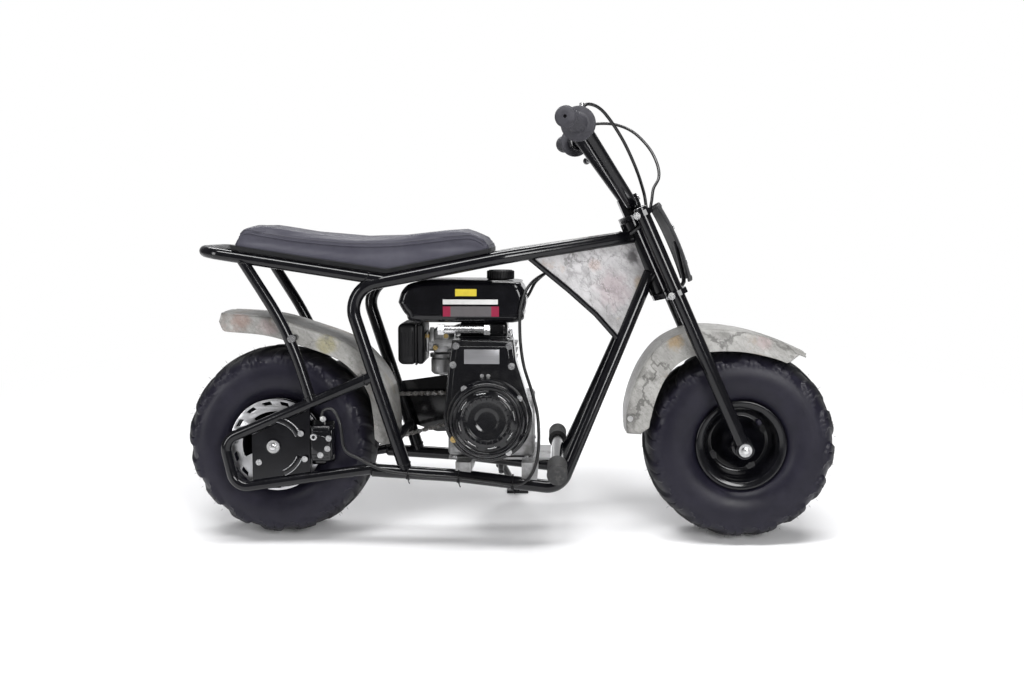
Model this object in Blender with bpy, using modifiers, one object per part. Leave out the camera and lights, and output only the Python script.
"""Mini bike with a rigid tube frame, fat knobby tyres and a small open four-stroke engine.

The bike is drawn upright, +X forward, +Z up, -Y its right side, with X = 0 midway between the axles.
An empty then leans it onto its side stand and sets it on the floor. Metres throughout.
"""
import math

import bmesh
import bpy
from mathutils import Matrix, Vector

# Driving dimensions
WHEELBASE = 0.855
TYRE_RADIUS = 0.1775
TYRE_HALF_WIDTH = 0.070
LUG_HEIGHT = 0.005
LUG_COUNT = 16
RIM_RADIUS = 0.078
AXLE_RADIUS = 0.006
LEAN_DEG = 8.0
SEAT_GAP = 0.0003

FRAME_HALF_WIDTH = 0.097
MAIN_TUBE = 0.012
LOOP_TUBE = 0.010
STAY_TUBE = 0.010
TAIL_TUBE = 0.0105
THIN_TUBE = 0.005
HEAD_HALF_GAP = 0.014

REAR_AXLE = Vector((-WHEELBASE / 2, 0.0, TYRE_RADIUS))
FRONT_AXLE = Vector((WHEELBASE / 2, 0.0, TYRE_RADIUS))


def from_rear(ahead, up):
    """A frame corner (x, z) by its reach ahead of the rear tyre's front and above the axle."""
    return (REAR_AXLE.x + TYRE_RADIUS + ahead, REAR_AXLE.z + up)


def from_front(behind, up):
    """A frame corner (x, z) by its reach behind and above the front axle."""
    return (FRONT_AXLE.x - behind, FRONT_AXLE.z + up)


def from_middle(ahead, up):
    """A frame corner (x, z) by its reach ahead of mid-wheelbase and above the axles."""
    return (ahead, TYRE_RADIUS + up)


POST_FOOT = from_rear(0.0640, -0.0400)
POST_BEND = from_rear(-0.0420, 0.2885)
CRADLE_REAR = from_rear(0.0040, -0.0425)
TAIL_START = from_rear(0.0330, 0.3035)
TAIL_TIP = from_rear(-0.3050, 0.3555)
RAIL_BEND = from_middle(-0.0100, 0.3445)
CRADLE_BREAK = from_middle(-0.0890, -0.0515)
CRADLE_BEND = from_middle(0.0950, -0.0725)
RAIL_HEAD = from_front(0.1915, 0.3825)
DOWN_HEAD = from_front(0.1645, 0.3225)

RAKE_DEG = 24.0
STEERING_POINT = FRONT_AXLE + Vector((-0.1485, 0.0, 0.2865))
HEAD_RADIUS = 0.021
HEAD_LOW = -0.0075
HEAD_HIGH = 0.1355
CLAMP_THICKNESS = 0.010
STEM_RADIUS = 0.0125
LEG_RADIUS = 0.0125
LEG_HALF_TRACK = 0.095
BAR_RADIUS = 0.011
CABLE_RADIUS = 0.003

ROTOR_RADIUS = 0.085
ROTOR_THICKNESS = 0.003
ROTOR_Y = -(FRAME_HALF_WIDTH - 0.017)
SPROCKET_RADIUS = 0.066
SPROCKET_Y = FRAME_HALF_WIDTH - 0.0175
CHAIN_PITCH = 0.0127
CHAIN_WIDTH = 0.009
CRANK = from_middle(-0.0340, 0.0585)
CLUTCH_SPROCKET_RADIUS = 0.020

STAND_PIVOT = Vector((-0.022, FRAME_HALF_WIDTH + 0.030, TYRE_RADIUS - 0.0735))
STAND_FOOT = STAND_PIVOT + Vector((0.030, 0.078, -0.077))
STAND_AXIS = (STAND_FOOT - STAND_PIVOT).cross(Vector((-1, 0, 0))).normalized()
STAND_PIN = 0.005

ENGINE_FOOT = CRANK[1] - 0.082

FENDER_HALF_WIDTH = TYRE_HALF_WIDTH + 0.002
DOWN_AXIS = Vector((math.sin(math.radians(RAKE_DEG)), 0.0, -math.cos(math.radians(RAKE_DEG))))
FORWARD = Vector((math.cos(math.radians(RAKE_DEG)), 0.0, math.sin(math.radians(RAKE_DEG))))
LEG_LEAD = (FRONT_AXLE - STEERING_POINT).dot(FORWARD)


for old in list(bpy.data.objects):
    bpy.data.objects.remove(old, do_unlink=True)

parts = bpy.data.collections.new("mini_bike")
cutters = bpy.data.collections.new("cutters")
for collection in (parts, cutters):
    bpy.context.scene.collection.children.link(collection)


def material(name, colour, roughness, metallic=0.0):
    made = bpy.data.materials.new(name)
    made.use_nodes = True
    shader = made.node_tree.nodes["Principled BSDF"]
    shader.inputs["Base Color"].default_value = (*colour, 1.0)
    shader.inputs["Roughness"].default_value = roughness
    shader.inputs["Metallic"].default_value = metallic
    return made


FRAME_BLACK = material("frame_black", (0.012, 0.012, 0.014), 0.28)
ENGINE_BLACK = material("engine_black", (0.015, 0.015, 0.018), 0.35)
PLASTIC_BLACK = material("plastic_black", (0.02, 0.02, 0.022), 0.5)
TYRE_RUBBER = material("tyre_rubber", (0.022, 0.022, 0.026), 0.75)
GRIP_RUBBER = material("grip_rubber", (0.03, 0.03, 0.035), 0.8)
SEAT_VINYL = material("seat_vinyl", (0.085, 0.082, 0.10), 0.6)
CAMO = material("camo_plastic", (0.58, 0.57, 0.53), 0.45)
CAST_ALLOY = material("cast_alloy", (0.55, 0.55, 0.56), 0.45, 0.9)
STEEL = material("bright_steel", (0.62, 0.62, 0.63), 0.3, 1.0)


def empty(name, place, parent=None):
    made = bpy.data.objects.new(name, None)
    parts.objects.link(made)
    made.location = place
    made.empty_display_size = 0.05
    bpy.context.view_layer.update()
    if parent:
        made.parent = parent
        made.matrix_parent_inverse = parent.matrix_world.inverted()
    bpy.context.view_layer.update()
    return made


LEAN = empty("lean", (0, 0, 0))
STEER = empty("steering_axis", STEERING_POINT, LEAN)
FRONT = empty("front_axle_line", FRONT_AXLE, STEER)
REAR = empty("rear_axle_line", REAR_AXLE, LEAN)


def carry(shape, name, finish, holder):
    """Names a finished shape, gives it its material and hangs it on its holder without moving it."""
    shape.name = name
    shape.data.name = name
    shape.data.materials.clear()
    shape.data.materials.append(finish)
    shape.parent = holder
    shape.matrix_parent_inverse = holder.matrix_world.inverted()
    return shape


def mesh_object(shape, name="shape"):
    """Turns a filled bmesh into an object among the parts."""
    bmesh.ops.recalc_face_normals(shape, faces=shape.faces)
    data = bpy.data.meshes.new(name)
    shape.to_mesh(data)
    shape.free()
    made = bpy.data.objects.new(name, data)
    parts.objects.link(made)
    return made


def smooth(shape, degrees=35):
    shape.data.shade_smooth()
    shape.data.set_sharp_from_angle(angle=math.radians(degrees))
    return shape


def as_mesh(shape):
    """Replaces a curve, or an object with modifiers, by its evaluated mesh with its caps welded."""
    bpy.context.view_layer.update()
    evaluated = shape.evaluated_get(bpy.context.evaluated_depsgraph_get())
    data = bpy.data.meshes.new_from_object(evaluated)
    welded = bmesh.new()
    welded.from_mesh(data)
    bmesh.ops.remove_doubles(welded, verts=welded.verts, dist=1e-6)
    welded.to_mesh(data)
    welded.free()
    made = bpy.data.objects.new(shape.name, data)
    parts.objects.link(made)
    made.matrix_world = shape.matrix_world
    bpy.data.objects.remove(shape, do_unlink=True)
    return made


def bent(corners, radius, steps=5):
    """Centre line of a bent tube: straight runs with an arc of one radius at each inner corner."""
    corners = [Vector(corner) for corner in corners]
    path = [corners[0]]
    for before, corner, after in zip(corners, corners[1:], corners[2:]):
        back = (before - corner).normalized()
        ahead = (after - corner).normalized()
        half = back.angle(ahead) / 2
        centre = corner + (back + ahead).normalized() * radius / math.sin(half)
        first = corner + back * radius / math.tan(half) - centre
        last = corner + ahead * radius / math.tan(half) - centre
        turn = first.angle(last)
        for step in range(steps + 1):
            share = step / steps
            blend = first * math.sin((1 - share) * turn) + last * math.sin(share * turn)
            path.append(centre + blend / math.sin(turn))
    path.append(corners[-1])
    return path


def tube(path, radius, resolution=3):
    """A closed round tube along a path."""
    line = bpy.data.curves.new("tube", "CURVE")
    line.dimensions = "3D"
    line.bevel_depth = radius
    line.bevel_resolution = resolution
    line.use_fill_caps = True
    spline = line.splines.new("POLY")
    spline.points.add(len(path) - 1)
    for point, place in zip(spline.points, path):
        point.co = (*place, 1.0)
    made = bpy.data.objects.new("tube", line)
    parts.objects.link(made)
    return as_mesh(made)


def plate(outline, low_y, high_y, holes=()):
    """A flat outline in X and Z, with holes, as thick as from low_y to high_y."""
    line = bpy.data.curves.new("plate", "CURVE")
    line.dimensions = "2D"
    line.fill_mode = "BOTH"
    line.extrude = (high_y - low_y) / 2
    for loop in (outline, *holes):
        spline = line.splines.new("POLY")
        spline.points.add(len(loop) - 1)
        for point, (along, up) in zip(spline.points, loop):
            point.co = (along, up, 0.0, 1.0)
        spline.use_cyclic_u = True
    made = bpy.data.objects.new("plate", line)
    parts.objects.link(made)
    made.rotation_euler = (math.pi / 2, 0, 0)
    made.location = (0, (low_y + high_y) / 2, 0)
    made = as_mesh(made)
    made.data.transform(made.matrix_world)
    made.matrix_world = Matrix.Identity(4)
    return made


def arc(centre, radius, start_deg, end_deg, steps):
    """Points on an arc in X and Z."""
    turns = [math.radians(start_deg + (end_deg - start_deg) * i / steps) for i in range(steps + 1)]
    return [(centre[0] + radius * math.cos(t), centre[1] + radius * math.sin(t)) for t in turns]


def circle(centre, radius, steps):
    return arc(centre, radius, 0, 360, steps)[:-1]


def block(low, high, bevel=0.0, segments=2):
    """A box between two corners, with rounded edges."""
    bpy.ops.mesh.primitive_cube_add(size=1)
    made = bpy.context.active_object
    for collection in made.users_collection:
        collection.objects.unlink(made)
    parts.objects.link(made)
    low, high = Vector(low), Vector(high)
    size = high - low
    made.data.transform(Matrix.Translation((low + high) / 2) @ Matrix.Diagonal((*size, 1)))
    if bevel:
        rounded(made, bevel, segments)
    return made


def rounded(shape, width, segments=2, angle=40):
    edge = shape.modifiers.new("rounded_edges", "BEVEL")
    edge.width = width
    edge.segments = segments
    edge.limit_method = "ANGLE"
    edge.angle_limit = math.radians(angle)
    return shape


def turned(profile, centre, steps=32):
    """A solid turned about the lateral axis through centre. The profile is (radius, y) pairs, closed."""
    data = bpy.data.meshes.new("profile")
    points = [(radius, 0, -across) for radius, across in profile]
    on_axis = profile[0][0] == 0 and profile[-1][0] == 0
    edges = [(i, i + 1) for i in range(len(points) - 1)]
    if not on_axis:
        edges.append((len(points) - 1, 0))
    data.from_pydata(points, edges, [])
    made = bpy.data.objects.new("turned", data)
    parts.objects.link(made)
    screw = made.modifiers.new("turn", "SCREW")
    screw.steps = screw.render_steps = steps
    screw.use_merge_vertices = True
    screw.merge_threshold = 1e-5
    screw.use_normal_calculate = True
    made = as_mesh(made)
    made.data.transform(Matrix.Translation(centre) @ Matrix.Rotation(math.pi / 2, 4, "X"))
    outward(made)
    return made


def outward(shape):
    """Points the faces of a closed mesh out."""
    checked = bmesh.new()
    checked.from_mesh(shape.data)
    bmesh.ops.recalc_face_normals(checked, faces=checked.faces)
    if checked.calc_volume(signed=True) < 0:
        bmesh.ops.reverse_faces(checked, faces=checked.faces)
    checked.to_mesh(shape.data)
    checked.free()


def boolean(shape, tool, operation):
    """Applies one Boolean and keeps the tool as a hidden guide."""
    change = shape.modifiers.new(operation.lower(), "BOOLEAN")
    change.operation = operation
    change.solver = "EXACT"
    change.object = tool
    for collection in list(tool.users_collection):
        collection.objects.unlink(tool)
    cutters.objects.link(tool)
    tool.hide_render = True
    tool.display_type = "WIRE"
    return shape


def notch(path, radius, resolution=3):
    """A tube's room in the pieces that end on it: the tube with a gap round it and past its ends."""
    first = path[0] + (path[0] - path[1]).normalized() * SEAT_GAP
    last = path[-1] + (path[-1] - path[-2]).normalized() * SEAT_GAP
    return tube([first, *path[1:-1], last], radius + SEAT_GAP, resolution)


def rod(start, end, radius, resolution=3):
    return tube([Vector(start), Vector(end)], radius, resolution)


def side_path(points, side):
    """Points (x, z) or (x, y, z) laid on one side of the frame."""
    path = []
    for point in points:
        if len(point) == 2:
            point = (point[0], FRAME_HALF_WIDTH, point[1])
        path.append(Vector((point[0], side * point[1], point[2])))
    return path


def on_steering(along, forward=0.0, across=0.0):
    """A point by its height up the steering axis, its lead in front of it and its place across."""
    place = STEERING_POINT - DOWN_AXIS * along + FORWARD * forward
    return Vector((place.x, across, place.z))


def main_path(side):
    corners = side_path([POST_FOOT, POST_BEND], side)
    corners += side_path([RAIL_BEND, (RAIL_HEAD[0], HEAD_HALF_GAP, RAIL_HEAD[1])], side)
    first = bent(corners[:3], 0.050)[:-1]
    return first + bent(corners[1:], 0.150)[1:]


def cradle_path(side):
    corners = side_path([CRADLE_REAR, CRADLE_BREAK, CRADLE_BEND], side)
    corners += side_path([(DOWN_HEAD[0], HEAD_HALF_GAP, DOWN_HEAD[1])], side)
    return [corners[0]] + bent(corners[1:], 0.035)


def loop_line(x, upper):
    """Height of the rear loop's upper or lower arm."""
    behind = x - from_rear(0.005, 0)[0]
    return REAR_AXLE.z + (0.1295 + behind * 0.435 if upper else -0.0395 + behind * 0.151)


def loop_path(side):
    joint = from_rear(0.009, 0)[0]
    top, bottom = REAR_AXLE.x - 0.0925, REAR_AXLE.x - 0.0725
    corners = side_path([(joint, loop_line(joint, True)), (top, loop_line(top, True)),
                         (bottom, loop_line(bottom, False)), (joint + 0.003, loop_line(joint + 0.003, False))], side)
    return bent(corners, 0.028)


def stay_path(side):
    top, bow, foot = from_rear(-0.231, 0.3441), from_rear(-0.145, 0.2075), from_rear(-0.106, 0)
    return bent(side_path([top, bow, (foot[0], loop_line(foot[0], True))], side), 0.20, 4)


def tail_path():
    right = side_path([TAIL_START, (TAIL_TIP[0], TAIL_TIP[1])], -1)
    left = side_path([(TAIL_TIP[0], TAIL_TIP[1]), TAIL_START], 1)
    return bent(right + left, 0.040)


def tank_rail_path(side):
    """The thin curved tube under the side panel, in the panel's plane."""
    start, end = Vector(from_middle(0.029, 0.3525)), Vector(from_front(0.2215, 0.1885))
    bow = ((0.0, 0.0), (0.194, 0.0025), (0.441, 0.0059), (0.714, 0.0069), (1.0, 0.0))
    raised = Vector((start.y - end.y, end.x - start.x)).normalized()
    places = [start.lerp(end, share) + raised * rise for share, rise in bow]
    return [panel_point(place.x, place.y, side) for place in places]


def panel_point(x, z, side):
    """A point in the plane through the top tube and the down tube of one side."""
    rail = Vector(RAIL_HEAD) - Vector(RAIL_BEND)
    end_share = 0.66
    end = Vector(CRADLE_BEND).lerp(Vector(DOWN_HEAD), end_share) - Vector(RAIL_BEND)
    narrowing = FRAME_HALF_WIDTH - HEAD_HALF_GAP
    spread = rail.x * end.y - rail.y * end.x
    slope_x = narrowing * (end.y - end_share * rail.y) / spread
    slope_z = narrowing * (end_share * rail.x - end.x) / spread
    across = FRAME_HALF_WIDTH - slope_x * (x - RAIL_BEND[0]) - slope_z * (z - RAIL_BEND[1])
    return Vector((x, side * across, z))


def cradle_height(x):
    """Height of the lower cradle tubes' centre line at x."""
    share = (x - CRADLE_BREAK[0]) / (CRADLE_BEND[0] - CRADLE_BREAK[0])
    return CRADLE_BREAK[1] + share * (CRADLE_BEND[1] - CRADLE_BREAK[1])


def stand_bracket():
    """The side stand's pivot pin, on a lug that is welded under the cradle tube."""
    lug_reach = 0.018
    pin = rod(STAND_PIVOT - STAND_AXIS * (lug_reach + 0.0055), STAND_PIVOT + STAND_AXIS * 0.009, STAND_PIN)
    root = Vector((STAND_PIVOT.x, FRAME_HALF_WIDTH, cradle_height(STAND_PIVOT.x)))
    lug = rod(root, STAND_PIVOT - STAND_AXIS * lug_reach, 0.006)
    return as_mesh(boolean(lug, pin, "UNION"))


def build_frame():
    head = rod(on_steering(HEAD_LOW), on_steering(HEAD_HIGH), HEAD_RADIUS, 6)
    bore = rod(on_steering(HEAD_LOW - 0.01), on_steering(HEAD_HIGH + 0.01), STEM_RADIUS + SEAT_GAP, 6)
    boolean(head, bore, "DIFFERENCE")
    carry(head, "head_tube", FRAME_BLACK, LEAN)

    tail = tube(tail_path(), TAIL_TUBE)
    for side in (-1, 1):
        boolean(tail, notch(main_path(side), MAIN_TUBE), "DIFFERENCE")
    carry(tail, "tail_rail", FRAME_BLACK, LEAN)

    for side, word in ((-1, "right"), (1, "left")):
        fat_head = rod(on_steering(HEAD_LOW - 0.01), on_steering(HEAD_HIGH + 0.01), HEAD_RADIUS + SEAT_GAP, 6)
        fat_head.name = "head_cutter"
        cradle = tube(cradle_path(side), MAIN_TUBE)
        boolean(cradle, fat_head, "DIFFERENCE")
        if side > 0:
            boolean(cradle, stand_bracket(), "UNION")
        carry(cradle, "cradle_tube_" + word, FRAME_BLACK, LEAN)

        main = tube(main_path(side), MAIN_TUBE)
        boolean(main, fat_head, "DIFFERENCE")
        boolean(main, notch(cradle_path(side), MAIN_TUBE), "DIFFERENCE")
        carry(main, "main_tube_" + word, FRAME_BLACK, LEAN)

        loop = tube(loop_path(side), LOOP_TUBE)
        for neighbour in (main_path(side), cradle_path(side)):
            boolean(loop, notch(neighbour, MAIN_TUBE), "DIFFERENCE")
        carry(loop, "rear_loop_" + word, FRAME_BLACK, LEAN)

        stay = tube(stay_path(side), STAY_TUBE)
        boolean(stay, notch(tail_path(), TAIL_TUBE), "DIFFERENCE")
        boolean(stay, notch(loop_path(side), LOOP_TUBE), "DIFFERENCE")
        skirt_face = side * (FENDER_HALF_WIDTH + 0.0013 + SEAT_GAP)
        boss_x, boss_z = from_rear(-0.139, 0.1985)
        boss = rod((boss_x, side * (FRAME_HALF_WIDTH - 0.003), boss_z), (boss_x, skirt_face, boss_z), 0.006)
        boolean(stay, boss, "UNION")
        carry(stay, "seat_stay_" + word, FRAME_BLACK, LEAN)

        rail = tube(tank_rail_path(side), THIN_TUBE, 2)
        for neighbour in (main_path(side), cradle_path(side)):
            boolean(rail, notch(neighbour, MAIN_TUBE), "DIFFERENCE")
        carry(rail, "tank_rail_" + word, FRAME_BLACK, LEAN)


def build_side_panels():
    thickness = 0.0025
    for side, word in ((-1, "right"), (1, "left")):
        edge = [(point.x, point.z) for point in reversed(tank_rail_path(side))]
        outline = [(RAIL_HEAD[0], RAIL_HEAD[1]), (DOWN_HEAD[0], DOWN_HEAD[1]), *edge]
        sheet = bmesh.new()
        near = [sheet.verts.new(panel_point(x, z, side) + Vector((0, thickness / 2, 0))) for x, z in outline]
        far = [sheet.verts.new(panel_point(x, z, side) - Vector((0, thickness / 2, 0))) for x, z in outline]
        sheet.faces.new(near)
        sheet.faces.new(far[::-1])
        for i in range(len(outline)):
            j = (i + 1) % len(outline)
            sheet.faces.new((near[j], near[i], far[i], far[j]))
        panel = mesh_object(sheet)
        boolean(panel, rod(on_steering(HEAD_LOW - 0.01), on_steering(HEAD_HIGH + 0.01),
                           HEAD_RADIUS + SEAT_GAP, 6), "DIFFERENCE")
        boolean(panel, notch(main_path(side), MAIN_TUBE), "DIFFERENCE")
        boolean(panel, notch(cradle_path(side), MAIN_TUBE), "DIFFERENCE")
        boolean(panel, notch(tank_rail_path(side), THIN_TUBE, 2), "DIFFERENCE")
        carry(panel, "side_panel_" + word, CAMO, LEAN)


def tyre_profile():
    """(across, radius, lug share) from the right bead over the crown to the left bead."""
    half, crown = TYRE_HALF_WIDTH, TYRE_RADIUS - LUG_HEIGHT
    right = [(0.66, RIM_RADIUS + 0.002, 0.0), (0.90, 0.096, 0.0), (1.0, 0.126, 0.0),
             (0.96, 0.146, 0.35), (0.84, 0.160, 1.0), (0.60, crown - 0.0045, 1.0), (0.22, crown, 1.0)]
    rows = [(-share * half, radius, lug) for share, radius, lug in right]
    return rows + [(-across, radius, lug) for across, radius, lug in reversed(rows)]


def tyre(name, axle, holder):
    """A fat tyre with slanted shoulder lugs: sections round the axle whose crown steps up at each lug."""
    profile = tyre_profile()
    pitch = 2 * math.pi / LUG_COUNT
    columns = [(0.00, 0.0), (0.10, 1.0), (0.56, 1.0), (0.66, 0.0)]
    skew = 0.55 * pitch
    lug_middle = (columns[1][0] + columns[2][0]) / 2 * pitch
    standing = -math.pi / 2 - pitch / 2 - lug_middle - skew * 0.22
    sections = []
    shape = bmesh.new()
    for lug in range(LUG_COUNT):
        for place, raised in columns:
            ring = []
            for row, (across, radius, share) in enumerate(profile):
                turn = standing + (lug + place) * pitch + skew * abs(across) / TYRE_HALF_WIDTH * min(share, 1.0)
                if across > 0:
                    turn += pitch / 2 * min(share, 1.0)
                reach = radius + LUG_HEIGHT * share * raised
                out = across + math.copysign(LUG_HEIGHT * 0.5 * share * raised, across) * (share < 1.0)
                ring.append(shape.verts.new((reach * math.cos(turn), out, reach * math.sin(turn))))
            sections.append(ring)
    for ring, after in zip(sections, sections[1:] + sections[:1]):
        for i in range(len(profile)):
            j = (i + 1) % len(profile)
            shape.faces.new((ring[i], ring[j], after[j], after[i]))
    bmesh.ops.translate(shape, verts=shape.verts, vec=axle)
    made = smooth(mesh_object(shape), 30)
    outward(made)
    return carry(made, name, TYRE_RUBBER, holder)


def build_wheels():
    facet_share = math.cos(math.radians(5.4))
    seat = (RIM_RADIUS + 0.002) * facet_share - SEAT_GAP
    bead = 0.66 * TYRE_HALF_WIDTH
    for name, axle, holder in (("front", FRONT_AXLE, FRONT), ("rear", REAR_AXLE, REAR)):
        tyre(name + "_tyre", axle, holder)
        hub_end = 0.068 if name == "front" else -ROTOR_Y - 0.008
        bore = AXLE_RADIUS + SEAT_GAP
        half = [(bore, hub_end), (0.020, hub_end), (0.022, 0.030), (0.050, 0.012), (0.064, 0.024),
                (0.068, bead + 0.006), (0.072, bead + 0.010), (0.084, bead + 0.010),
                (0.084, bead + 0.0065), (seat, bead + 0.005)]
        profile = half + [(radius, -across) for radius, across in reversed(half)]
        rim = smooth(turned(profile, axle, 28))
        carry(rim, name + "_rim", FRAME_BLACK, holder)


def build_axles():
    for name, axle, holder, plate_face in (("front", FRONT_AXLE, STEER, LEG_HALF_TRACK + 0.006),
                                           ("rear", REAR_AXLE, LEAN, FRAME_HALF_WIDTH + 0.0025)):
        nut_inner, nut_outer = plate_face + SEAT_GAP, plate_face + 0.010
        half = [(AXLE_RADIUS, nut_inner), (0.011, nut_inner), (0.011, nut_outer), (0, nut_outer)]
        profile = [(0, -nut_outer)] + [(r, -y) for r, y in reversed(half[:-1])] + half
        pin = smooth(turned(profile, axle, 12))
        carry(pin, name + "_axle", STEEL, holder)


def build_drop_outs():
    low, high = REAR_AXLE.x - 0.0395, REAR_AXLE.x + 0.0675
    margin = LOOP_TUBE * 1.04 + SEAT_GAP
    outline = [(low, loop_line(low, False) + margin), (high, loop_line(high, False) + margin),
               (high, loop_line(high, True) - margin * 1.05), (low, loop_line(low, True) - margin * 1.05)]
    for side, word in ((-1, "right"), (1, "left")):
        middle = side * FRAME_HALF_WIDTH
        hole = circle((REAR_AXLE.x, REAR_AXLE.z), AXLE_RADIUS + SEAT_GAP, 12)
        dropout = plate(outline, middle - 0.0025, middle + 0.0025, [hole])
        carry(dropout, "axle_plate_" + word, FRAME_BLACK, LEAN)


def build_rotor():
    centre = (REAR_AXLE.x, REAR_AXLE.z)
    holes = [circle(centre, AXLE_RADIUS + SEAT_GAP, 12)]
    for arm in range(5):
        start = arm * 72 + 8
        holes.append(arc(centre, 0.062, start, start + 52, 5) + arc(centre, 0.028, start + 46, start + 8, 2))
    for slot in range(15):
        at = slot * 24
        holes.append(arc(centre, 0.080, at, at + 9, 1) + arc(centre, 0.0735, at + 7, at - 2, 1))
    half = ROTOR_THICKNESS / 2
    disc = plate(circle(centre, ROTOR_RADIUS, 36), ROTOR_Y - half, ROTOR_Y + half, holes)
    carry(disc, "brake_rotor", STEEL, REAR)


def build_sprocket():
    centre = (REAR_AXLE.x, REAR_AXLE.z)
    teeth = round(2 * math.pi * (SPROCKET_RADIUS + 0.003) / CHAIN_PITCH)
    outline = []
    for tooth in range(teeth):
        for share, radius in ((0.0, 0.0), (0.36, 0.0), (0.68, 0.0035)):
            turn = 2 * math.pi * (tooth + share) / teeth
            reach = SPROCKET_RADIUS - 0.004 + radius
            outline.append((centre[0] + reach * math.cos(turn), centre[1] + reach * math.sin(turn)))
    holes = [circle(centre, AXLE_RADIUS + SEAT_GAP, 12)]
    for window in range(6):
        turn = math.radians(60 * window)
        middle = (centre[0] + 0.040 * math.cos(turn), centre[1] + 0.040 * math.sin(turn))
        holes.append(circle(middle, 0.011, 8))
    disc = plate(outline, SPROCKET_Y - 0.0015, SPROCKET_Y + 0.0015, holes)
    carry(disc, "rear_sprocket", STEEL, REAR)


def chain_outline():
    """Points of the chain's centre line, one at each pin and one at each link's waist."""
    big, small = SPROCKET_RADIUS + 0.0045, CLUTCH_SPROCKET_RADIUS + 0.0045
    rear, front = Vector((REAR_AXLE.x, REAR_AXLE.z)), Vector(CRANK)
    line = front - rear
    span = line.length
    heading = math.atan2(line.y, line.x)
    flare = math.acos((big - small) / span)
    run = math.sqrt(span ** 2 - (big - small) ** 2)
    total = 2 * run + big * (2 * math.pi - 2 * flare) + small * 2 * flare
    links = round(total / CHAIN_PITCH / 2) * 2
    points = []
    for step in range(links * 2):
        along = total * step / (links * 2)
        if along < run:
            start = rear + big * Vector((math.cos(heading + flare), math.sin(heading + flare)))
            end = front + small * Vector((math.cos(heading + flare), math.sin(heading + flare)))
            points.append((start.lerp(end, along / run), heading + flare))
            continue
        along -= run
        if along < small * 2 * flare:
            turn = heading + flare - along / small
            points.append((front + small * Vector((math.cos(turn), math.sin(turn))), turn))
            continue
        along -= small * 2 * flare
        if along < run:
            start = front + small * Vector((math.cos(heading - flare), math.sin(heading - flare)))
            end = rear + big * Vector((math.cos(heading - flare), math.sin(heading - flare)))
            points.append((start.lerp(end, along / run), heading - flare))
            continue
        along -= run
        turn = heading - flare - along / big
        points.append((rear + big * Vector((math.cos(turn), math.sin(turn))), turn))
    return points


def build_chain():
    """One closed loop of links: narrow and wide plates by turns, waisted between their pins."""
    shape = bmesh.new()
    rings = []
    for index, (point, normal) in enumerate(chain_outline()):
        waist = index % 2
        wide = (index // 2) % 2
        tall = 0.0030 if waist else 0.0042
        half = CHAIN_WIDTH / 2 * (1.0 if wide else 0.72)
        out = Vector((math.cos(normal), math.sin(normal)))
        ring = []
        for up, side in ((-tall, -half), (tall, -half), (tall, half), (-tall, half)):
            at = point + out * up
            ring.append(shape.verts.new((at.x, SPROCKET_Y + side, at.y)))
        rings.append(ring)
    for ring, after in zip(rings, rings[1:] + rings[:1]):
        for i in range(4):
            j = (i + 1) % 4
            shape.faces.new((ring[i], ring[j], after[j], after[i]))
    loop = mesh_object(shape)
    outward(loop)
    carry(loop, "chain", STEEL, LEAN)


def build_caliper():
    slot = 0.0035
    back, split, front = REAR_AXLE.x + 0.068, REAR_AXLE.x + 0.0935, REAR_AXLE.x + 0.1095
    bottom, top = REAR_AXLE.z - 0.0355, REAR_AXLE.z + 0.0485
    body = block((back, ROTOR_Y - 0.029, bottom), (front, ROTOR_Y + 0.009, top), 0.004)
    opening = block((back - 0.04, ROTOR_Y - slot, bottom - 0.04), (split, ROTOR_Y + slot, top + 0.04))
    boolean(body, opening, "DIFFERENCE")
    relief = block((split + 0.001, ROTOR_Y + slot, bottom - 0.04), (front + 0.02, ROTOR_Y + 0.03, top + 0.04))
    boolean(body, relief, "DIFFERENCE")
    carry(body, "brake_caliper", ENGINE_BLACK, LEAN)


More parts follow.
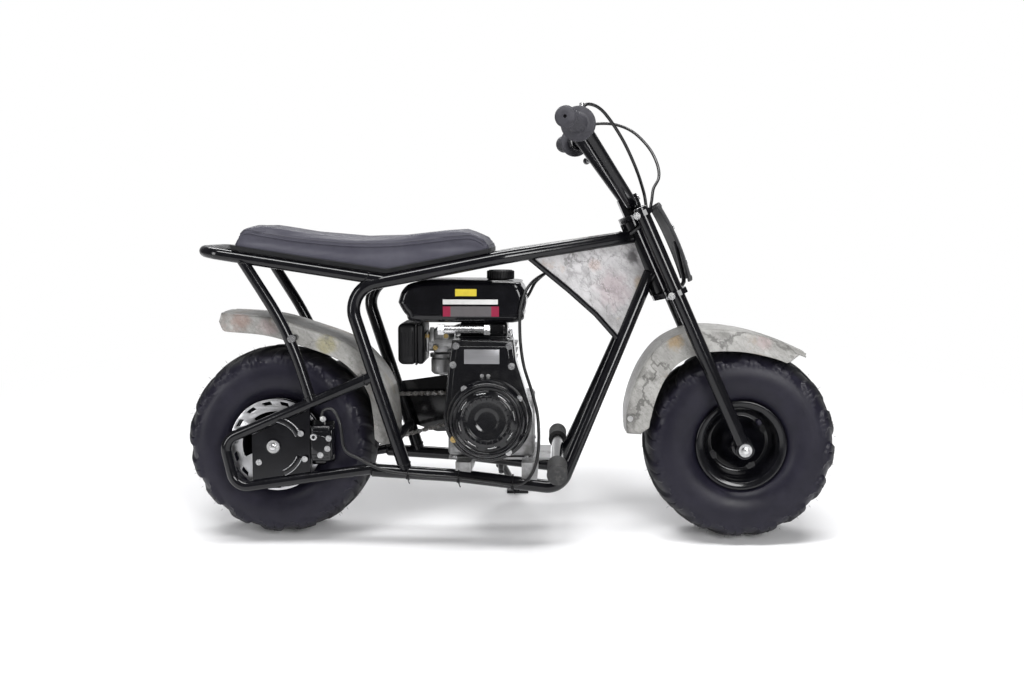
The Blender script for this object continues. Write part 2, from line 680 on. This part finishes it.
def build_engine():
    top = ENGINE_FOOT - SEAT_GAP
    mount = block((-0.110, -0.062, top - 0.004), (0.078, 0.062, top))
    for x in (-0.080, 0.040):
        bar = block((x - 0.014, -FRAME_HALF_WIDTH - 0.006, cradle_height(x) + 0.006),
                    (x + 0.014, FRAME_HALF_WIDTH + 0.006, top - 0.002))
        boolean(mount, bar, "UNION")
    for side in (-1, 1):
        boolean(mount, notch(cradle_path(side), MAIN_TUBE), "DIFFERENCE")
    carry(mount, "engine_mount", CAST_ALLOY, LEAN)

    foot, head, head_top = ENGINE_FOOT, ENGINE_FOOT + 0.218, ENGINE_FOOT + 0.2497
    case = block((-0.112, -0.064, foot), (0.048, 0.056, foot + 0.114), 0.010)
    core = block((-0.086, -0.040, foot + 0.096), (0.004, 0.032, head))
    boolean(case, core, "UNION")
    fins = bmesh.new()
    fin_count, fin_low, fin_pitch, fin_thickness = 7, foot + 0.125, 0.0135, 0.003
    for fin in range(fin_count):
        height = fin_low + fin * fin_pitch
        made = bmesh.ops.create_cube(fins, size=1)["verts"]
        bmesh.ops.scale(fins, verts=made, vec=(0.112, 0.096, fin_thickness))
        bmesh.ops.translate(fins, verts=made, vec=(-0.041, -0.004, height))
    boolean(case, mesh_object(fins, "fins"), "UNION")
    carry(case, "engine_block", CAST_ALLOY, LEAN)

    cover = block((-0.0965, -0.052, head + SEAT_GAP), (0.004, 0.036, head_top), 0.008)
    carry(cover, "rocker_cover", CAST_ALLOY, LEAN)

    round_part = arc(CRANK, 0.080, -188, 8, 18)
    shoulder, shroud_top = foot + 0.186, foot + 0.222
    outline = round_part + [(0.016, shoulder), (0.012, shroud_top), (-0.098, shroud_top), (-0.104, shoulder)]
    shroud = plate(outline, -0.122, -0.0643)
    rounded(shroud, 0.010, 3, 50)
    carry(shroud, "engine_shroud", ENGINE_BLACK, LEAN)

    radius = 0.074
    face = [(0, -0.152), (0.037, -0.152), (0.040, -0.149), (0.052, -0.149), (0.056, -0.152), (0.061, -0.152),
            (0.069, -0.147), (radius, -0.138), (radius, -0.1223), (0, -0.1223)]
    recoil = smooth(turned(face, Vector((CRANK[0], 0, CRANK[1])), 28))
    carry(recoil, "recoil_starter", ENGINE_BLACK, LEAN)

    tank_low = head_top + SEAT_GAP
    tank_side = [(-0.200, 0.036), (-0.192, 0.058), (-0.172, 0.072), (-0.120, 0.0758), (0.006, 0.0738),
                 (0.024, 0.066), (0.032, 0.044), (0.028, 0.020), (0.008, 0), (-0.160, 0), (-0.186, 0.014)]
    tank = plate([(x, tank_low + rise) for x, rise in tank_side], -0.078, 0.078)
    rounded(tank, 0.014, 3, 50)
    smooth(tank)
    carry(tank, "fuel_tank", ENGINE_BLACK, LEAN)

    cap_low = tank_low + 0.0751
    cap = rod((-0.017, 0, cap_low), (-0.017, 0, cap_low + 0.018), 0.026, 8)
    carry(cap, "fuel_cap", PLASTIC_BLACK, LEAN)

    body = block((-0.156, -0.022, foot + 0.172), (-0.0973, 0.026, foot + 0.238), 0.006)
    bowl = rod((-0.128, 0.002, foot + 0.146), (-0.128, 0.002, foot + 0.186), 0.021, 5)
    boolean(body, bowl, "UNION")
    carry(body, "carburettor", CAST_ALLOY, LEAN)
    box = block((-0.206, -0.050, foot + 0.168), (-0.1563, 0.050, foot + 0.246), 0.012)
    carry(box, "air_filter", PLASTIC_BLACK, LEAN)

    muffler = block((-0.088, 0.0443, foot + 0.144), (0.006, 0.085, foot + 0.228), 0.014, 3)
    carry(muffler, "muffler", ENGINE_BLACK, LEAN)

    shaft, drum = 0.010, 0.050
    profile = [(0, 0.0563), (shaft, 0.0563), (shaft, SPROCKET_Y - 0.0045),
               (CLUTCH_SPROCKET_RADIUS - 0.001, SPROCKET_Y - 0.0015),
               (CLUTCH_SPROCKET_RADIUS - 0.001, SPROCKET_Y + 0.0015), (shaft, SPROCKET_Y + 0.0045),
               (drum, SPROCKET_Y + 0.007), (drum, SPROCKET_Y + 0.0245), (0.012, SPROCKET_Y + 0.0265),
               (0, SPROCKET_Y + 0.0265)]
    clutch = smooth(turned(profile, Vector((CRANK[0], 0, CRANK[1])), 28))
    carry(clutch, "clutch", STEEL, LEAN)

    guard_face = FRAME_HALF_WIDTH + MAIN_TUBE + SEAT_GAP
    outline = arc(CRANK, 0.062, -80, 100, 10) + [(-0.200, CRANK[1] + 0.038), (-0.310, CRANK[1] + 0.026),
                                                 (-0.310, CRANK[1] - 0.014), (-0.150, CRANK[1] - 0.066)]
    guard = plate(outline, guard_face, guard_face + 0.002)
    carry(guard, "chain_guard", FRAME_BLACK, LEAN)


def seat_floor(x):
    """Underside of the seat: it rests on the main rails in front and on the tail rail behind."""
    if x > TAIL_START[0]:
        slope = (RAIL_BEND[1] - POST_BEND[1]) / (RAIL_BEND[0] - POST_BEND[0])
        return POST_BEND[1] + (x - POST_BEND[0]) * slope + MAIN_TUBE * 1.02 + SEAT_GAP
    slope = (TAIL_TIP[1] - TAIL_START[1]) / (TAIL_TIP[0] - TAIL_START[0])
    return TAIL_START[1] + (x - TAIL_START[0]) * slope + TAIL_TUBE * 1.015 + SEAT_GAP + 0.0006


def build_seat():
    floor = [(x, seat_floor(x)) for x in (-0.497, -0.350, -0.2165, -0.120, -0.032)]
    crown = [(-0.029, 0.019), (-0.042, 0.037), (-0.066, 0.047), (-0.110, 0.044), (-0.190, 0.035),
             (-0.270, 0.033), (-0.370, 0.041), (-0.462, 0.055), (-0.476, 0.054), (-0.484, 0.046)]
    top = [(x, RAIL_BEND[1] + rise) for x, rise in crown]
    seat = plate(floor + top, -FRAME_HALF_WIDTH - 0.007, FRAME_HALF_WIDTH + 0.007)
    rounded(seat, 0.007, 2, 50)
    carry(smooth(seat), "seat", SEAT_VINYL, LEAN)


def fender(name, centre_line, skirts, holder):
    """A thin fender: an arched section with side skirts, carried along a centre line in X and Z."""
    thickness = 0.0025
    shape = bmesh.new()
    rows = []
    points = [Vector(point) for point in centre_line]
    for index, point in enumerate(points):
        before, after = points[max(index - 1, 0)], points[min(index + 1, len(points) - 1)]
        along = (after - before).normalized()
        up = Vector((-along.y, along.x))
        half = [(1.0, -skirts[index]), (0.97, -0.25 * skirts[index]), (0.80, -0.002), (0.4, 0.002)]
        section = [(-across, drop) for across, drop in half] + [(0.0, 0.003)] + half[::-1]
        row = []
        for across, rise in section:
            at = point + up * rise
            row.append(shape.verts.new((at.x, across * FENDER_HALF_WIDTH, at.y)))
        rows.append(row)
    for row, after in zip(rows, rows[1:]):
        for i in range(len(section) - 1):
            shape.faces.new((row[i], row[i + 1], after[i + 1], after[i]))
    made = mesh_object(shape)
    wall = made.modifiers.new("wall", "SOLIDIFY")
    wall.thickness = thickness
    wall.offset = 0
    smooth(made, 50)
    return carry(made, name, CAMO, holder)


def round_tyre(axle, line):
    """Points (x, z) round an axle by their angle and their clearance from the tyre's crown."""
    return [arc((axle.x, axle.z), TYRE_RADIUS + clear, angle, angle, 1)[0] for angle, clear in line]


def build_fenders():
    rear_line = round_tyre(REAR_AXLE, [(113.7, 0.0829), (94.3, 0.0547), (76.9, 0.0417), (55.1, 0.0473),
                                       (40.9, 0.0494), (28.2, 0.0478), (15.4, 0.0393), (0.1, 0.0345)])
    fender("rear_fender", rear_line, [0.030] * 8, LEAN)
    front_line = round_tyre(FRONT_AXLE, [(173.9, 0.0312), (163.5, 0.0388), (151.4, 0.0454), (139.4, 0.0532),
                                         (127.6, 0.0578), (115.1, 0.0527), (103.9, 0.0414), (88.5, 0.0281),
                                         (71.7, 0.0220), (55.9, 0.0248)])
    fender("front_fender", front_line, [0.036, 0.042, 0.042, 0.042, 0.042, 0.042, 0.038, 0.032, 0.028, 0.026], STEER)


def build_cross_tubes():
    lean_back = (POST_BEND[0] - POST_FOOT[0]) / (POST_BEND[1] - POST_FOOT[1])
    height = POST_FOOT[1] + 0.0525
    x = POST_FOOT[0] + (height - POST_FOOT[1]) * lean_back
    lower = rod((x, -FRAME_HALF_WIDTH, height), (x, FRAME_HALF_WIDTH, height), 0.008)
    for side in (-1, 1):
        boolean(lower, notch(main_path(side), MAIN_TUBE), "DIFFERENCE")
    carry(lower, "cross_tube_lower", FRAME_BLACK, LEAN)


def build_pegs():
    x, z = CRADLE_BEND[0] - 0.0045, CRADLE_BEND[1] + 0.048
    bar = rod((x, -0.200, z), (x, 0.200, z), 0.011)
    carry(bar, "peg_bar", FRAME_BLACK, LEAN)
    for side, word in ((-1, "right"), (1, "left")):
        rubber = rod((x, side * 0.126, z), (x, side * 0.214, z), 0.018, 5)
        boolean(rubber, rod((x, side * 0.100, z), (x, side * 0.2003, z), 0.011 + SEAT_GAP), "DIFFERENCE")
        carry(rubber, "peg_rubber_" + word, GRIP_RUBBER, LEAN)


def build_fork():
    top = HEAD_HIGH + 0.0005
    low = HEAD_LOW - 0.0005
    leg_top = top + CLAMP_THICKNESS + 0.006
    for side, word in ((-1, "right"), (1, "left")):
        across = side * LEG_HALF_TRACK
        foot = Vector((FRONT_AXLE.x, across, FRONT_AXLE.z))
        leg = rod(on_steering(leg_top, LEG_LEAD, across), foot - DOWN_AXIS * 0.0125, LEG_RADIUS, 4)
        lug = plate(circle((FRONT_AXLE.x, FRONT_AXLE.z), 0.017, 16), across - 0.006, across + 0.006)
        boolean(leg, lug, "UNION")
        stud_at = FRONT_AXLE - DOWN_AXIS * 0.213
        stud_end = side * (FENDER_HALF_WIDTH + 0.0002 + SEAT_GAP)
        boolean(leg, rod((stud_at.x, across, stud_at.z), (stud_at.x, stud_end, stud_at.z), 0.006), "UNION")
        hole = rod((FRONT_AXLE.x, across - 0.03, FRONT_AXLE.z), (FRONT_AXLE.x, across + 0.03, FRONT_AXLE.z),
                   AXLE_RADIUS + SEAT_GAP, 4)
        boolean(leg, hole, "DIFFERENCE")
        carry(leg, "fork_leg_" + word, FRAME_BLACK, STEER)

    for name, start, stem in (("upper_clamp", top, None), ("lower_clamp", low - CLAMP_THICKNESS, low)):
        outline = []
        for angle in range(-60, 61, 20):
            turn = math.radians(angle)
            outline.append((LEG_LEAD + 0.021 * math.sin(turn), LEG_HALF_TRACK + 0.021 * math.cos(turn)))
        front = outline + [(0.030, 0.030), (0.026, 0.0)]
        rear = [(-0.020, 0.0), (-0.018, 0.014), (0.000, 0.060), (LEG_LEAD - 0.020, LEG_HALF_TRACK)]
        half = rear + front
        loop = half + [(lead, -across) for lead, across in reversed(half) if across > 0]
        shape = bmesh.new()
        lower = [shape.verts.new(on_steering(start, lead, across)) for lead, across in loop]
        upper = [shape.verts.new(on_steering(start + CLAMP_THICKNESS, lead, across)) for lead, across in loop]
        shape.faces.new(lower)
        shape.faces.new(upper[::-1])
        for i in range(len(loop)):
            j = (i + 1) % len(loop)
            shape.faces.new((lower[j], lower[i], upper[i], upper[j]))
        clamp = mesh_object(shape)
        outward(clamp)
        for side in (-1, 1):
            hole = rod(on_steering(start - 0.02, LEG_LEAD, side * LEG_HALF_TRACK),
                       on_steering(start + 0.03, LEG_LEAD, side * LEG_HALF_TRACK), LEG_RADIUS + SEAT_GAP, 4)
            boolean(clamp, hole, "DIFFERENCE")
        if stem is None:
            hole = rod(on_steering(start - 0.02), on_steering(start + 0.03), STEM_RADIUS + SEAT_GAP, 6)
            boolean(clamp, hole, "DIFFERENCE")
            boolean(clamp, bar_block(), "UNION")
            boolean(clamp, notch(bar_path()[0], BAR_RADIUS), "DIFFERENCE")
        else:
            post = rod(on_steering(stem - 0.005), on_steering(top + CLAMP_THICKNESS - 0.003), STEM_RADIUS, 6)
            boolean(clamp, post, "UNION")
            boolean(clamp, plate_bracket(), "UNION")
        carry(clamp, name, FRAME_BLACK, STEER)


def bar_path():
    clamp = on_steering(HEAD_HIGH + CLAMP_THICKNESS + 0.0165, 0.011)
    head = STEERING_POINT
    right = [head + Vector((-0.178, -0.318, 0.286)), head + Vector((-0.145, -0.160, 0.282)),
             Vector((clamp.x, -0.058, clamp.z))]
    left = [Vector((point.x, -point.y, point.z)) for point in reversed(right)]
    return bent(right + left, 0.042), right


def bar_block():
    """The block that holds the handlebar on the upper clamp."""
    start = HEAD_HIGH + CLAMP_THICKNESS - 0.002
    shape = bmesh.new()
    corners = []
    for across in (-0.026, 0.026):
        for lead, rise in ((-0.008, 0), (0.028, 0), (0.028, 0.035), (-0.008, 0.035)):
            corners.append(shape.verts.new(on_steering(start + rise, lead, across)))
    for face in ((0, 1, 2, 3), (7, 6, 5, 4), (0, 4, 5, 1), (1, 5, 6, 2), (2, 6, 7, 3), (3, 7, 4, 0)):
        shape.faces.new([corners[i] for i in face])
    made = mesh_object(shape)
    outward(made)
    return made


def build_bar():
    path, right = bar_path()
    bar = tube(path, BAR_RADIUS)
    carry(bar, "handlebar", FRAME_BLACK, STEER)

    outer, inner = right[0], right[1]
    along = (inner - outer).normalized()
    for side, word in ((-1, "right"), (1, "left")):
        flip = Vector((1, -side, 1))
        end = outer - along * 0.003
        stop = outer + along * 0.112
        grip = rod(end * flip, stop * flip, 0.0165, 6)
        flange = rod((outer + along * 0.104) * flip, stop * flip, 0.030, 6)
        boolean(grip, flange, "UNION")
        hole = rod((outer - along * SEAT_GAP) * flip, (outer + along * 0.15) * flip, BAR_RADIUS + SEAT_GAP)
        boolean(grip, hole, "DIFFERENCE")
        carry(grip, "grip_" + word, GRIP_RUBBER, STEER)

    housing_start, housing_stop = outer + along * 0.1125, outer + along * 0.138
    housing = rod(housing_start, housing_stop, 0.021, 5)
    boolean(housing, notch(bar_path()[0], BAR_RADIUS), "DIFFERENCE")
    carry(housing, "throttle_housing", PLASTIC_BLACK, STEER)

    flip = Vector((1, -1, 1))
    holder = rod(housing_start * flip, housing_stop * flip, 0.0175, 5)
    knuckle = (outer + along * 0.128) * flip
    blade = [knuckle + Vector((0.010, 0, -0.006)), knuckle + Vector((0.040, 0.004, -0.022)),
             knuckle + Vector((0.050, 0.026, -0.028)), outer * flip + Vector((0.048, -0.020, -0.036))]
    boolean(holder, tube(blade, 0.0055, 2), "UNION")
    boolean(holder, notch(bar_path()[0], BAR_RADIUS), "DIFFERENCE")
    carry(holder, "brake_lever", PLASTIC_BLACK, STEER)


def build_number_plate():
    """A shallow dished plate in front of the fork on two tabs from the clamps."""
    middle = on_steering(0.068, 0.066)
    half_high, half_wide, dish = 0.078, 0.098, 0.012
    shape = bmesh.new()
    rows = []
    for row in range(7):
        up = -1 + row / 3
        ring = []
        for column in range(9):
            side = -1 + column / 4
            wide = half_wide * (1 - 0.16 * up * up) * (1.0 if up > 0 else 1 + 0.16 * up)
            back = -dish * (side * side + 0.5 * up * up)
            at = middle - DOWN_AXIS * (up * half_high * (1 - 0.05 * side * side)) + FORWARD * back
            ring.append(shape.verts.new((at.x, side * wide, at.z)))
        rows.append(ring)
    for row, after in zip(rows, rows[1:]):
        for i in range(8):
            shape.faces.new((row[i], row[i + 1], after[i + 1], after[i]))
    made = mesh_object(shape)
    wall = made.modifiers.new("wall", "SOLIDIFY")
    wall.thickness = 0.003
    wall.offset = 0
    smooth(made)
    carry(made, "number_plate", PLASTIC_BLACK, STEER)


def plate_bracket():
    """A bent strap from the lower clamp up behind the number plate."""
    path = [on_steering(HEAD_LOW - 0.0055, 0.020), on_steering(HEAD_LOW - 0.0055, 0.046),
            on_steering(0.068, 0.0602)]
    return tube(bent(path, 0.012, 3), 0.004, 2)


def smooth_route(points, count):
    """Points read off a smooth curve through a route's own points."""
    spread = [points[0]] + list(points) + [points[-1]]
    made = []
    for index in range(count + 1):
        at = index / count * (len(points) - 1)
        span = min(int(at), len(points) - 2)
        t = at - span
        a, b, c, d = (Vector(p) for p in spread[span:span + 4])
        made.append(0.5 * (2 * b + (c - a) * t + (2 * a - 5 * b + 4 * c - d) * t * t
                           + (3 * b - a - 3 * c + d) * t ** 3))
    return made


def build_cables():
    """The two control cables, held at both ends: they loop up from the controls and down behind the plate."""
    throttle = [(-0.1512, -0.190, 0.3045), (-0.1505, -0.189, 0.311), (-0.137, -0.178, 0.320),
                (-0.112, -0.148, 0.309), (-0.079, -0.112, 0.268), (-0.052, -0.072, 0.220)]
    brake = [(-0.1512, 0.190, 0.3010), (-0.1505, 0.189, 0.307), (-0.137, 0.180, 0.313),
             (-0.108, 0.150, 0.310), (-0.060, 0.104, 0.286), (-0.019, 0.074, 0.254), (0.006, 0.054, 0.214)]
    ends = [on_steering(0.176, 0.041, -0.034), on_steering(0.150, 0.035, -0.034),
            on_steering(0.134, 0.035, -0.034)], [on_steering(0.150, 0.051, 0.038), on_steering(0.120, 0.049, 0.034)]
    for name, route, end in (("throttle_cable", throttle, ends[0]), ("brake_cable", brake, ends[1])):
        upper = [STEERING_POINT + Vector(point) for point in route]
        cable = tube(smooth_route(upper + end, 22), CABLE_RADIUS, 2)
        carry(cable, name, PLASTIC_BLACK, STEER)


def frame_cable_start(across):
    """Where a cable leaves the back of the head tube, between the top tubes and the down tubes."""
    behind = HEAD_RADIUS + CABLE_RADIUS + 0.0005
    return [on_steering(0.071, -behind, across), on_steering(0.064, -behind - 0.012, across)]


def build_frame_cables():
    """The lower runs: the throttle's to the carburettor, the brake's along the right cradle tube to the caliper."""
    foot, beside = ENGINE_FOOT, FRAME_HALF_WIDTH + MAIN_TUBE + CABLE_RADIUS + 0.001
    throttle = [*frame_cable_start(0.006), (0.160, 0.012, foot + 0.356), (0.090, 0.034, foot + 0.346),
                (0.050, 0.068, foot + 0.320), (0.026, 0.0835, foot + 0.282), (-0.020, 0.0840, foot + 0.252),
                (-0.070, 0.0835, foot + 0.240), (-0.108, 0.072, foot + 0.230), (-0.128, 0.046, foot + 0.220),
                (-0.128, 0.0265, foot + 0.220)]
    cradle = [(x, -beside, cradle_height(x)) for x in (0.018, -0.030, CRADLE_BREAK[0])]
    rear = CRADLE_REAR[1] - CRADLE_BREAK[1]
    caliper_x, caliper_top = REAR_AXLE.x + 0.0895, REAR_AXLE.z + 0.0485
    brake = [*frame_cable_start(-0.006), (0.160, -0.012, foot + 0.356), (0.090, -0.034, foot + 0.346),
             (0.046, -0.064, foot + 0.325), (0.026, -0.084, foot + 0.290), (0.022, -0.088, foot + 0.240),
             (0.028, -0.090, foot + 0.180), (0.044, -0.091, foot + 0.126), (0.055, -0.094, foot + 0.080),
             (0.056, -0.103, foot + 0.020), (0.044, -0.111, foot - 0.022), *cradle,
             (-0.160, -beside, CRADLE_BREAK[1] + 0.45 * rear), (-0.225, -beside, CRADLE_REAR[1] + 0.004),
             (-0.268, -beside, CRADLE_REAR[1] + 0.024), (caliper_x + 0.044, -beside, caliper_top - 0.050),
             (caliper_x + 0.036, -0.112, caliper_top - 0.004), (caliper_x + 0.022, -0.106, caliper_top + 0.021),
             (caliper_x + 0.005, -0.101, caliper_top + 0.020), (caliper_x, -0.098, caliper_top + 0.010),
             (caliper_x, -0.098, caliper_top + 0.001)]
    for name, route in (("throttle_cable_lower", throttle), ("brake_cable_lower", brake)):
        cable = tube(smooth_route(route, len(route) * 3), CABLE_RADIUS, 1)
        carry(cable, name, PLASTIC_BLACK, LEAN)


def floor_point(across, lift, sink=0.0):
    """Height in the upright frame of a floor point across the leaning bike."""
    lean = math.radians(LEAN_DEG)
    return (across * math.sin(lean) - lift - sink) / math.cos(lean)


def tyre_lift():
    """How far the leaning bike rises so that its tyres stand on the floor."""
    lean = math.radians(LEAN_DEG)
    lowest = 0.0
    for name in ("front_tyre", "rear_tyre"):
        for vertex in bpy.data.objects[name].data.vertices:
            lowest = min(lowest, vertex.co.z * math.cos(lean) - vertex.co.y * math.sin(lean))
    return -lowest


def build_stand():
    """The side stand on the left, on a bracket of the cradle tube, resting at its open stop."""
    lift = tyre_lift()
    pivot = STAND_PIVOT
    foot = Vector((STAND_FOOT.x, STAND_FOOT.y, floor_point(STAND_FOOT.y, lift)))
    leg = foot - pivot
    axis = STAND_AXIS
    pivot_holder = empty("stand_pivot", pivot, LEAN)

    boss = rod(pivot - axis * 0.007, pivot + axis * 0.007, 0.011, 5)
    shank = rod(pivot, foot - leg.normalized() * 0.0085, 0.007)
    boolean(boss, shank, "UNION")
    lean = math.radians(LEAN_DEG)
    pad = block((-0.022, -0.012, 0.0), (0.022, 0.012, 0.006))
    pad.data.transform(Matrix.Translation(foot) @ Matrix.Rotation(lean, 4, "X"))
    boolean(boss, pad, "UNION")
    boolean(boss, rod(pivot - axis * 0.03, pivot + axis * 0.03, STAND_PIN + SEAT_GAP), "DIFFERENCE")
    carry(boss, "side_stand", FRAME_BLACK, pivot_holder)

    return lift


def set_down(lift):
    """Leans the bike onto its stand, with the origin under the middle of its box."""
    LEAN.rotation_euler = (-math.radians(LEAN_DEG), 0, 0)
    LEAN.location = (0, 0, lift)
    bpy.context.view_layer.update()
    graph = bpy.context.evaluated_depsgraph_get()
    corners = []
    for piece in parts.objects:
        if piece.type != "MESH":
            continue
        shape = piece.evaluated_get(graph)
        data = shape.to_mesh()
        corners += [shape.matrix_world @ vertex.co for vertex in data.vertices]
        shape.to_mesh_clear()
    middle_x = (min(c.x for c in corners) + max(c.x for c in corners)) / 2
    middle_y = (min(c.y for c in corners) + max(c.y for c in corners)) / 2
    LEAN.location = (-middle_x, -middle_y, lift)
    bpy.context.view_layer.update()


def fasten_cutters():
    """Hangs each guide on the leaning frame, so that its cut stays where it was made."""
    for guide in cutters.objects:
        guide.parent = LEAN
        guide.matrix_parent_inverse = LEAN.matrix_world.inverted()


build_frame()
build_side_panels()
build_wheels()
build_axles()
build_drop_outs()
build_rotor()
build_sprocket()
build_chain()
build_caliper()
build_engine()
build_seat()
build_fenders()
build_cross_tubes()
build_pegs()
build_fork()
build_bar()
build_number_plate()
build_cables()
build_frame_cables()
stand_lift = build_stand()
fasten_cutters()
set_down(stand_lift)
